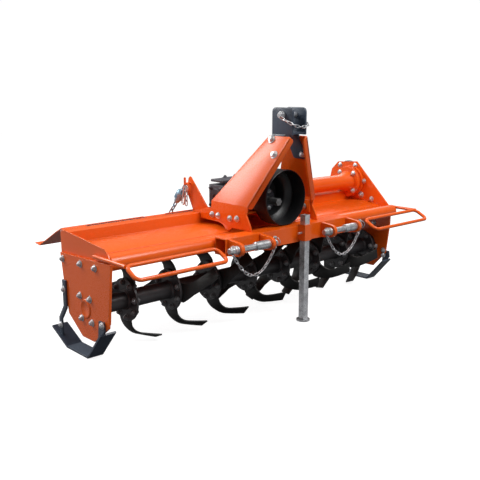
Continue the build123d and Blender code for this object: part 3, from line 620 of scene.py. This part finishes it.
# drive tube
drive = {"y": 317.5, "z": 535.5, "left": 120.3, "right": 881.7, "housing": 44, "boltRing": 67.5}
farEnd = drive["right"] - drive["left"]
face = farEnd - drive["housing"]
driveProfile = [(0, 56), (0.8, 57), (13, 57), (14, 56), (14, 45), (18, 41.5), (22, 41), (face - 66, 41),
                (face - 58, 42), (face - 28, 49), (face - 10, 54), (face - 1, 56), (face, 62), (face, 82),
                (face + 1, 83), (face + 11, 83), (face + 12, 82), (face + 12, 74), (farEnd - 15, 74),
                (farEnd - 15, 85), (farEnd - 14, 86), (farEnd - 1, 86), (farEnd, 85)]
complete(turnProfile(at(drive["left"], drive["y"], drive["z"]), acrossX, driveProfile, 72), "driveTube",
         "orangeEnamel", "frame", ["drive_tube"])
housingX = drive["right"] - drive["housing"]
placeBolts("driveFlangeBolts", "medium", [(at(housingX, drive["y"] + y, drive["z"] + z), -acrossX)
                                          for y, z in ringOf(4, drive["boltRing"], 45)])
print("drive tube ready")

# link pins
linkPin = {"y": -125, "z": 404, "radius": 12.5, "outer": 374, "inner": 197, "lug": 8, "over": 46, "tail": 32}
pinSpans = {"left": (-linkPin["outer"], -linkPin["inner"]), "right": (linkPin["inner"], linkPin["outer"])}


def makeLinkPin(word, x0, x1):
    line, radius = at(0, linkPin["y"], linkPin["z"]), linkPin["radius"]
    head0, head1 = x0 - linkPin["lug"] - 34, x0 - linkPin["lug"] - 1
    start, stop = x0 - linkPin["lug"] - linkPin["over"], x1 + linkPin["lug"] + linkPin["tail"]
    mid, far = (x0 + x1) / 2, x1 - linkPin["lug"] - 1
    shank = turnProfile(line, acrossX, [(start, radius - 2), (start + 2, radius), (stop - 5, radius),
                                        (stop, radius - 3.5)], 32)
    nut = turnProfile(line, acrossX, [(head0, 13), (head0 + 2.5, 16.5), (head0 + 14, 16.5), (head0 + 16, 15)], 6)
    collar = turnProfile(line, acrossX, [(head0 + 16, 13.5), (head0 + 17, 14.5), (head1 - 5, 14.5),
                                         (head1 - 5, 17.4), (head1 - 4, 18), (head1 - 1, 18), (head1, 17)], 32)
    sleeve = turnProfile(line, acrossX, [(mid, 17), (mid + 1.5, 18.5), (far - 1.5, 18.5), (far, 17)], 40)
    complete(combine([shank, softenEdges(nut, 0.8), collar, sleeve]), word + "LinkPin", "zincPlate", "frame",
             [word + "_link_pin"])


for word, (x0, x1) in pinSpans.items():
    makeLinkPin(word, x0, x1)

# chain below each link pin, rings at both of its ends, and a linch pin at the right one
pinChain = {"wire": 4.5, "links": 16, "sag": 102, "hang": 5.6, "head": 18, "headOut": 30, "tailOut": 28,
            "ringOut": 24, "linchOut": 30}


def makePinChain(word, x0, x1):
    y, z, headX, linchX = linkPin["y"], linkPin["z"], x0 - pinChain["headOut"], x1 + pinChain["linchOut"]
    headEnd = at(headX, y, z - pinChain["head"] * cos(pi / 6) - pinChain["hang"])
    tailEnd = at(x1 + pinChain["tailOut"], y, z - linkPin["radius"] - pinChain["hang"])
    points = sagBetween(headEnd, tailEnd, pinChain["sag"], pinChain["links"])
    complete(makeChain(points, pinChain["wire"]), word + "PinChain", "zincPlate", "frame", [word + "_pin_chain"])
    clips = [makeRing(at(headX, y, z), (1, 0.15, 0), 19, 3.2),
             makeRing(at(x1 + pinChain["ringOut"], y, z), (1, 0.15, 0), 15, 3.2),
             turnProfile(at(linchX, y, z), (0.1, 0.2, 1),
                         [(-24, 3), (-22, 4), (16, 4), (16, 7), (26, 7), (28, 5)], 16),
             makeRing(at(linchX, y - 3, z + 5), (0.8, 0.5, 0.2), 19, 2.6)]
    complete(combine(clips), word + "PinClips", "zincPlate", "frame")


for word, (x0, x1) in pinSpans.items():
    makePinChain(word, x0, x1)
print("link pins and chains ready")

# the mast's measures, which the top clevis follows too
mast = {"baseX": 215, "topX": 53, "foldZ": 546, "topZ": 840, "thick": 8, "lip": 30, "frontY": -5, "rearY": 237,
        "topFrontY": -95, "topRearY": 34, "saddle": 8}


def legWays(side):
    # up along the mast's leg on that side, and square to it, inwards
    up = Vector((side * (mast["topX"] - mast["baseX"]), 0, mast["topZ"] - mast["foldZ"])).normalized()
    return up, Vector((-side * up.z, 0, -abs(up.x)))


# top clevis
clevis = {"half": 45, "thick": 10, "front": -97, "back": 24, "top": 962, "corner": 20, "bendZ": 846,
          "footFront": -53, "foot": 124, "nut": (95.4, -42, 763), "nutIn": 18.5}


def makeClevis():
    # two cheeks on feet that lie inside the mast's legs, and a web between them
    front, back, top, bendZ = (clevis[key] for key in ("front", "back", "top", "bendZ"))
    thick, parts = clevis["thick"] / 1000, []
    for side in (-1, 1):
        outX = side * clevis["half"]
        up, inward = legWays(side)
        corners = [at(outX, y, z) for y, z in ((front, bendZ), (back, bendZ), (back, top), (front, top))]
        cheek = roundedOutline(corners, (0, 0, clevis["corner"], clevis["corner"]))
        parts.append(makePlate(cheek, -acrossX * side * thick, 1.2))
        foot = [at(outX, clevis["footFront"], bendZ), at(outX, back, bendZ)]
        foot += [corner - up * clevis["foot"] / 1000 for corner in reversed(foot)]
        parts.append(makePlate(roundedOutline(foot, (0, 0, 10, 16)), inward * thick, 1.2))
    web = [at(x, y, bendZ + 2) for x, y in ((-36, -95), (36, -95), (36, 20), (-36, 20))]
    return combine(parts + [makePlate(web, upZ * thick, 2.5, 3)])


complete(makeClevis(), "topClevis", "darkEnamel", "frame", ["top_clevis"])
nutX, nutY, nutZ = clevis["nut"]
nutSpots = []
for side in (-1, 1):
    inward = legWays(side)[1]
    nutSpots.append((at(side * nutX, nutY, nutZ) + inward * clevis["nutIn"] / 1000, inward))
placeBolts("clevisNuts", "medium", nutSpots)

# top link pin and its chain
topPinLine = at(0, -40, 929)
shank = turnProfile(topPinLine, acrossX, [(-69, 10), (-66, 12.5), (67, 12.5), (71, 10)], 32)
head = turnProfile(topPinLine, acrossX, [(-58, 16), (-56, 18), (-48, 18), (-46, 17)], 32)
complete(combine([shank, head]), "topLinkPin", "zincPlate", "frame", ["top_link_pin"])
topChain = {"wire": 4.2, "links": 11}
topChainLine = [at(-66, -46, 921), at(-56, -103, 894), at(-30, -107, 884), at(5, -107, 879), at(38, -106, 882),
                at(57, -98, 888), at(60, -70, 902), at(62, -47, 914)]
topLinks = makeChain(spacedAlong(topChainLine, topChain["links"]), topChain["wire"])
complete(topLinks, "topPinChain", "zincPlate", "frame")
print("top pin ready")

# hoops
hoop = {"wire": 16, "corner": 24, "rearY": -100, "rearZ": 419, "frontY": -172, "frontZ": 381, "outer": 898.3,
        "toPin": 44}


def makeHoop(word, side):
    # a bar bent round four corners, and an arm that runs back from it
    outer = side * hoop["outer"]
    inner = side * (linkPin["outer"] + linkPin["lug"] + linkPin["over"] + hoop["toPin"])
    corners = [at(outer, hoop["rearY"], hoop["rearZ"]), at(outer, hoop["frontY"], hoop["frontZ"]),
               at(inner, hoop["frontY"], hoop["frontZ"]), at(inner, hoop["rearY"], hoop["rearZ"])]
    radius = hoop["corner"] / 1000
    spot = start = (corners[3] + corners[0]) / 2
    bpy.ops.mesh.primitive_circle_add(vertices=16, radius=hoop["wire"] / 2000, location=start,
                                      rotation=aim(corners[0] - corners[3]).to_euler())
    bar = hold(bpy.context.object)
    openMesh(bar)
    for k, corner in enumerate(corners):
        way, turned = (corner - spot).normalized(), (corners[(k + 1) % 4] - corner).normalized()
        drawOut(way * ((corner - spot).length - radius), True)
        middle = corner - way * radius + turned * radius
        bpy.ops.mesh.spin(steps=6, angle=-pi / 2, center=middle, axis=way.cross(turned))
        spot = corner + turned * radius
    drawOut(start - spot, True)
    closeMesh(0.0002)
    arm = turnProfile(at(outer, 0, hoop["rearZ"] - 0.5), alongY, [(-102, 6), (-102, 8), (110, 8), (118, 6)], 16)
    complete(combine([bar, arm]), word + "Hoop", "orangeEnamel", "frame", [word + "_guard_hoop"])


makeHoop("left", -1)
makeHoop("right", 1)
print("hoops ready")

# hood: front slope, strip, trough, steep riser and the wide flange above it, as (y, z)
hoodLow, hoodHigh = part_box("hood")
hoodTop = [(66.5, 410), (115, 419), (232, 435), (318, 435), (322, 480), (384, 480), (384, 454)]
hoodUnder = [(380, 454), (380, 476), (326, 476), (321.5, 431), (232, 431), (115, 415), (66.5, 406)]
stripLine = [(117, 419.2), (230, 434.7), (230, 437.2), (117, 421.7)]


def acrossHood(line, edge):
    corners = [Vector((hoodLow.x, *at(0, y, z).yz)) for y, z in line]
    return makePlate(corners, acrossX * (hoodHigh.x - hoodLow.x), edge)


complete(combine([acrossHood(hoodTop + hoodUnder, 1.2), acrossHood(stripLine, 1.0)]), "hoodSheet", "orangeEnamel",
         "frame", ["hood"])

# bolts, boss and strap on the left end plate, as (y, z)
leftEnd = {"face": -900.3, "skidFace": -908.6, "strapFace": -908.5, "strap": 8}
leftSpots = [(357, 368), (217, 371), (108, 373), (231, 240), (155, 240), (222, 150), (144, 148)]
placeBolts("leftPlateBolts", "medium", [(at(leftEnd["face"], y, z), -acrossX) for y, z in leftSpots])
boss = turnProfile(at(leftEnd["face"], rotor["y"], rotor["z"]), -acrossX,
                   [(0, 40), (2, 39), (3.5, 36), (3.5, 28), (2, 26)], 64)
complete(boss, "leftBearingBoss", "orangeEnamel", "frame")
skidSpots = [(58, 160), (349, 242), (387, 82)]
placeBolts("leftSkidBolts", "short", [(at(leftEnd["skidFace"], y, z), -acrossX) for y, z in skidSpots])
strapLine = [(333, 281), (360, 281), (358, 170), (401, 112), (401, 47.4), (378, 36.2), (378, 106), (334, 164)]
strap = makePlate([at(leftEnd["strapFace"], y, z) for y, z in strapLine], acrossX * leftEnd["strap"] / 1000, 1.2)
complete(strap, "leftSkidStrap", "darkEnamel", "frame", ["left_skid_strap"])

# mast sides
footLine = [(-5, 546), (237, 546), (237, 514), (268, 510), (368, 484.5), (368, 480.5), (317, 480.5), (312, 457.5),
            (190, 455.5), (160, 447.5), (142, 428.5), (118, 424.5), (98, 440.5), (-25, 440.5), (-15, 470), (8, 510)]
mastSpots = {"foot": [(231, 484), (190, 484), (110, 481), (64, 485)], "saddle": [(190, 499), (50, 498)],
             "leg": [(8, 824), (-42, 763)]}


def makeMastSide(word, side):
    # folded plate: foot with its arch over the hood, inclined leg, lip along the leg's front edge
    outX, topX, thick = side * mast["baseX"], side * mast["topX"], mast["thick"] / 1000
    foot = makePlate([at(outX, y, z) for y, z in footLine], -acrossX * side * thick)
    inward = legWays(side)[1]
    corners = [at(outX, mast["frontY"], mast["foldZ"]), at(outX, mast["rearY"], mast["foldZ"]),
               at(topX, mast["topRearY"], mast["topZ"]), at(topX, mast["topFrontY"], mast["topZ"])]
    leg = makePlate(roundedOutline(corners, (0, 0, 5, 6)), inward * thick)
    along = (corners[3] - corners[0]).normalized()
    low, high = corners[0] - along * 0.004, corners[3] - along * 0.003
    deep = inward * mast["lip"] / 1000
    lip = makePlate(roundedOutline([low, high, high + deep, low + deep], (2, 8, 14, 12)), alongY * thick)
    complete(combine([foot, leg, lip]), word + "MastSide", "orangeEnamel", "frame", [word + "_mast_side"])


def placeMastBolts(word, side):
    # on the foot, inside it on the gearbox's saddle, and on the leg
    insideX = side * (mast["baseX"] - mast["thick"] - mast["saddle"])
    footSpots = [(at(side * mast["baseX"], y, z), (side, 0, 0)) for y, z in mastSpots["foot"]]
    footSpots += [(at(insideX, y, z), (-side, 0, 0)) for y, z in mastSpots["saddle"]]
    placeBolts(word + "FootBolts", "medium", footSpots)
    legSpots = []
    for y, z in mastSpots["leg"]:
        lean = (z - mast["foldZ"]) / (mast["topZ"] - mast["foldZ"])
        legX = side * (mast["baseX"] - (mast["baseX"] - mast["topX"]) * lean)
        legSpots.append((at(legX, y, z), -legWays(side)[1]))
    placeBolts(word + "MastBolts", "large", legSpots)


makeMastSide("left", -1)
makeMastSide("right", 1)
placeMastBolts("left", -1)
placeMastBolts("right", 1)

# bolts on the chain plate's inner face
chainPlate = {"face": 882, "bigBolt": (245, 464)}
plateSpots = [(401, 618), (293, 623), (230, 541), (173, 448), (149, 320), (133, 188), (79, 175), (78, 147)]
placeBolts("chainPlateBolts", "medium", [(at(chainPlate["face"], y, z), -acrossX) for y, z in plateSpots])
placeBolts("chainPlateBigBolt", "large", [(at(chainPlate["face"], *chainPlate["bigBolt"]), -acrossX)])

# chain case: rim against the plate, raised body, cover with its bolts, each with how far in from the rim it stands
caseLook = {"inner": 890.4, "rim": 899, "body": 927, "cover": 929.4, "low": (193, 194, 84), "high": (345, 561, 86),
            "bodyIn": 17, "coverIn": 38, "boltsIn": 8, "sunk": 0.5}
endSteps = 16


def caseOutline(inset):
    # round both ends, on the straight flanks between them
    slope = atan2(caseLook["high"][1] - caseLook["low"][1], caseLook["high"][0] - caseLook["low"][0])
    line = []
    for (y, z, radius), first in ((caseLook["high"], slope - pi / 2), (caseLook["low"], slope + pi / 2)):
        for k in range(endSteps + 1):
            turn = first + pi * k / endSteps
            line.append((y + (radius - inset) * cos(turn), z + (radius - inset) * sin(turn)))
    return line


def makeCaseStep(near, far, inset, edge, soft=2):
    return makePlate([at(near, y, z) for y, z in caseOutline(inset)], acrossX * (far - near) / 1000, edge, soft)


caseParts = [makeCaseStep(caseLook["inner"], caseLook["rim"], 0, 1.5),
             makeCaseStep(caseLook["rim"] - caseLook["sunk"], caseLook["body"], caseLook["bodyIn"], 8, 4),
             makeCaseStep(caseLook["body"] - caseLook["sunk"], caseLook["cover"], caseLook["coverIn"], 0.8)]
for y, z, radius in (caseLook["low"], caseLook["high"]):
    caseParts.append(turnProfile(at(caseLook["body"], y, z), acrossX,
                                 [(0, 40), (6.5, 39), (8.2, 36), (8.2, 20), (6, 18)]))
complete(combine(caseParts), "chainCase", "darkEnamel", "frame", ["chain_case"])
# five bolts round each end, and two more along each flank
rimLine = caseOutline(caseLook["boltsIn"])
rimSpots = [rimLine[k] for k in (0, 4, 8, 12, 16, 17, 21, 25, 29, 33)]
for a, b in ((16, 17), (33, 0)):
    for share in (1, 2):
        rimSpots.append([(p * share + q * (3 - share)) / 3 for p, q in zip(rimLine[a], rimLine[b])])
placeBolts("chainCaseBolts", "small", [(at(caseLook["rim"], y, z), acrossX) for y, z in rimSpots])
print("plate bolts ready")

# left upright: a plate with an upturned hook
uprightLine = [(268, 502), (393, 637), (402, 641), (412, 632), (418, 606), (432, 580), (381, 484), (374, 472),
               (330, 470), (262, 484)]
upright = [makePlate([at(-206.7, y, z) for y, z in uprightLine], acrossX * 0.006),
           turnProfile(at(-200, 402, 608), -acrossX, [(0, 5.5), (34, 5.5), (38, 5)], 16),
           turnProfile(at(-236, 402, 603), upZ, [(0, 5), (2, 5.5), (33, 5.5), (36, 3)], 16)]
complete(combine(upright), "leftUpright", "orangeEnamel", "frame", ["left_chain_upright"])

# tailboard chains, each with a swivel in it, a shackle and the spare links that hang from the same pin
tailChain = {"lug": (204, 583, 423), "links": 8, "wire": 6.5, "fromHook": 13.3, "sleeve": (0.15, 0.5),
             "shackleWire": 7.5, "shackleUp": 4, "spareWire": 5, "spareOut": 7}
spareLine = [(0, 2, -13), (0, 6, -36), (1, 8, -58), (0, 9, -80), (0, 9, -102)]


def makeTailChain(word, side, x, y, z):
    lugX, lugY, lugZ = tailChain["lug"]
    hookSpot, low = at(x, y, z), at(side * lugX, lugY, lugZ)
    way = (low - hookSpot).normalized()
    top = hookSpot + way * tailChain["fromHook"] / 1000
    links = [top.lerp(low, i / tailChain["links"]) for i in range(tailChain["links"] + 1)]
    complete(makeChain(links, tailChain["wire"]), word + "TailChain", "blueZinc", "frame", [word + "_tail_chain"])
    s0, s1 = (share * (low - top).length * 1000 for share in tailChain["sleeve"])
    swivel = turnProfile(top, way, [(s0, 7), (s0 + 3, 13), (s0 + 9, 20), (s0 + 16, 22.5), (s1 - 34, 22.5),
                                    (s1 - 30, 17), (s1 - 10, 14), (s1 - 3, 11), (s1, 7)], 28)
    complete(swivel, word + "TailSwivel", "blueZinc", "frame")
    upper = top - way * tailChain["shackleUp"] / 1000
    shackle = makeChain([upper, upper + Vector((0, 0.020, -0.088))], tailChain["shackleWire"])
    complete(shackle, word + "Shackle", "zincPlate", "frame")
    spareX = x - side * tailChain["spareOut"]
    spare = makeChain([at(spareX + dx, y + dy, z + dz) for dx, dy, dz in spareLine], tailChain["spareWire"])
    complete(spare, word + "SpareChain", "zincPlate", "frame")


makeTailChain("left", -1, -228, 404, 606)
makeTailChain("right", 1, 188.2, 392, 616)

for master in boltMasters.values():
    bpy.data.objects.remove(master)


# floor, and a white room round it all, seen but giving no light
def makeGlow(piece, name, paintName, tone, glow):
    piece.name = name
    piece.visible_diffuse = False
    piece.visible_glossy = False
    paint = bpy.data.materials.new(paintName)
    paint.use_nodes = True
    shader = paint.node_tree.nodes["Principled BSDF"]
    shader.inputs["Base Color"].default_value = (tone, tone, tone, 1)
    shader.inputs["Emission Color"].default_value = (1, 1, 1, 1)
    shader.inputs["Emission Strength"].default_value = glow
    piece.data.materials.append(paint)
    return shader


stageLook = {"size": 30, "under": 0.0005, "tone": 0.34, "glow": 0.88, "roomRadius": 14}
bpy.ops.mesh.primitive_plane_add(size=stageLook["size"], location=(0, 0, -stageLook["under"]))
floor = bpy.context.object
floorShader = makeGlow(floor, "floor", "paleFloor", stageLook["tone"], stageLook["glow"])
floorShader.inputs["Roughness"].default_value = 0.9
floorShader.inputs["Specular IOR Level"].default_value = 0.1

bpy.ops.mesh.primitive_uv_sphere_add(segments=48, ring_count=24, radius=stageLook["roomRadius"])
room = bpy.context.object
makeGlow(room, "whiteRoom", "whiteRoom", 0, 1)
room.visible_shadow = False
room.visible_transmission = False

# sky light: bright towards the horizon, dim from below, as (height, shade)
skyShades = [(0.30, 0.40), (0.40, 0.75), (0.49, 0.45), (0.55, 0.14), (0.64, 0.20), (0.75, 0.6)]
world = bpy.data.worlds.new("studio")
bpy.context.scene.world = world
world.use_nodes = True
sky, skyWire = world.node_tree.nodes, world.node_tree.links.new
skyPlace = sky.new("ShaderNodeTexCoord")
skyParts = sky.new("ShaderNodeSeparateXYZ")
skyWire(skyPlace.outputs["Generated"], skyParts.inputs["Vector"])
height = sky.new("ShaderNodeMapRange")
height.inputs["From Min"].default_value = -1
skyWire(skyParts.outputs["Z"], height.inputs["Value"])
shades = sky.new("ShaderNodeValToRGB")
shades.color_ramp.elements[0].position = 0.10
shades.color_ramp.elements[0].color = (0.05, 0.05, 0.052, 1)
shades.color_ramp.elements[1].position = 1.0
shades.color_ramp.elements[1].color = (0.80, 0.74, 0.66, 1)
for level, shade in skyShades:
    shades.color_ramp.elements.new(level).color = (shade, shade, shade * 1.02, 1)
skyWire(height.outputs["Result"], shades.inputs["Fac"])
skyWire(shades.outputs["Color"], sky["Background"].inputs["Color"])
sky["Background"].inputs["Strength"].default_value = 0.62

lights = {
    "keyLight": {"place": (0.6, -2.1, 3.5), "aim": (0, 0, 0.4), "size": 2.0, "power": 118},
    "sheenLight": {"place": (-1.77, 2.34, 2.5), "aim": (-0.15, -0.2, 0.7), "size": 2.0, "power": 105},
    "leftLight": {"place": (-3.6, -0.2, 1.5), "aim": (-0.5, 0, 0.3), "size": 2.0, "power": 5},
    "rearLight": {"place": (3.4, 1.6, 2.8), "aim": (0, 0.2, 0.5), "size": 1.6, "power": 20},
}
for name, light in lights.items():
    bpy.ops.object.light_add(type="AREA", location=light["place"])
    lamp = bpy.context.object
    lamp.name = name
    lamp.data.size = light["size"]
    lamp.data.energy = light["power"]
    lamp.rotation_euler = aim(Vector(light["aim"]) - Vector(light["place"]), "-Z").to_euler()

view = {"place": (-2214.1, -2152.5, 1031.5), "way": (0.65806, 0.72320, -0.20962), "lens": 52.245, "film": 36}
bpy.ops.object.camera_add(location=at(*view["place"]))
camera = bpy.context.object
camera.rotation_euler = aim(view["way"], "-Z").to_euler()
camera.data.lens = view["lens"]
camera.data.sensor_width = view["film"]
bpy.context.scene.camera = camera
bpy.context.scene.view_settings.view_transform = "Standard"
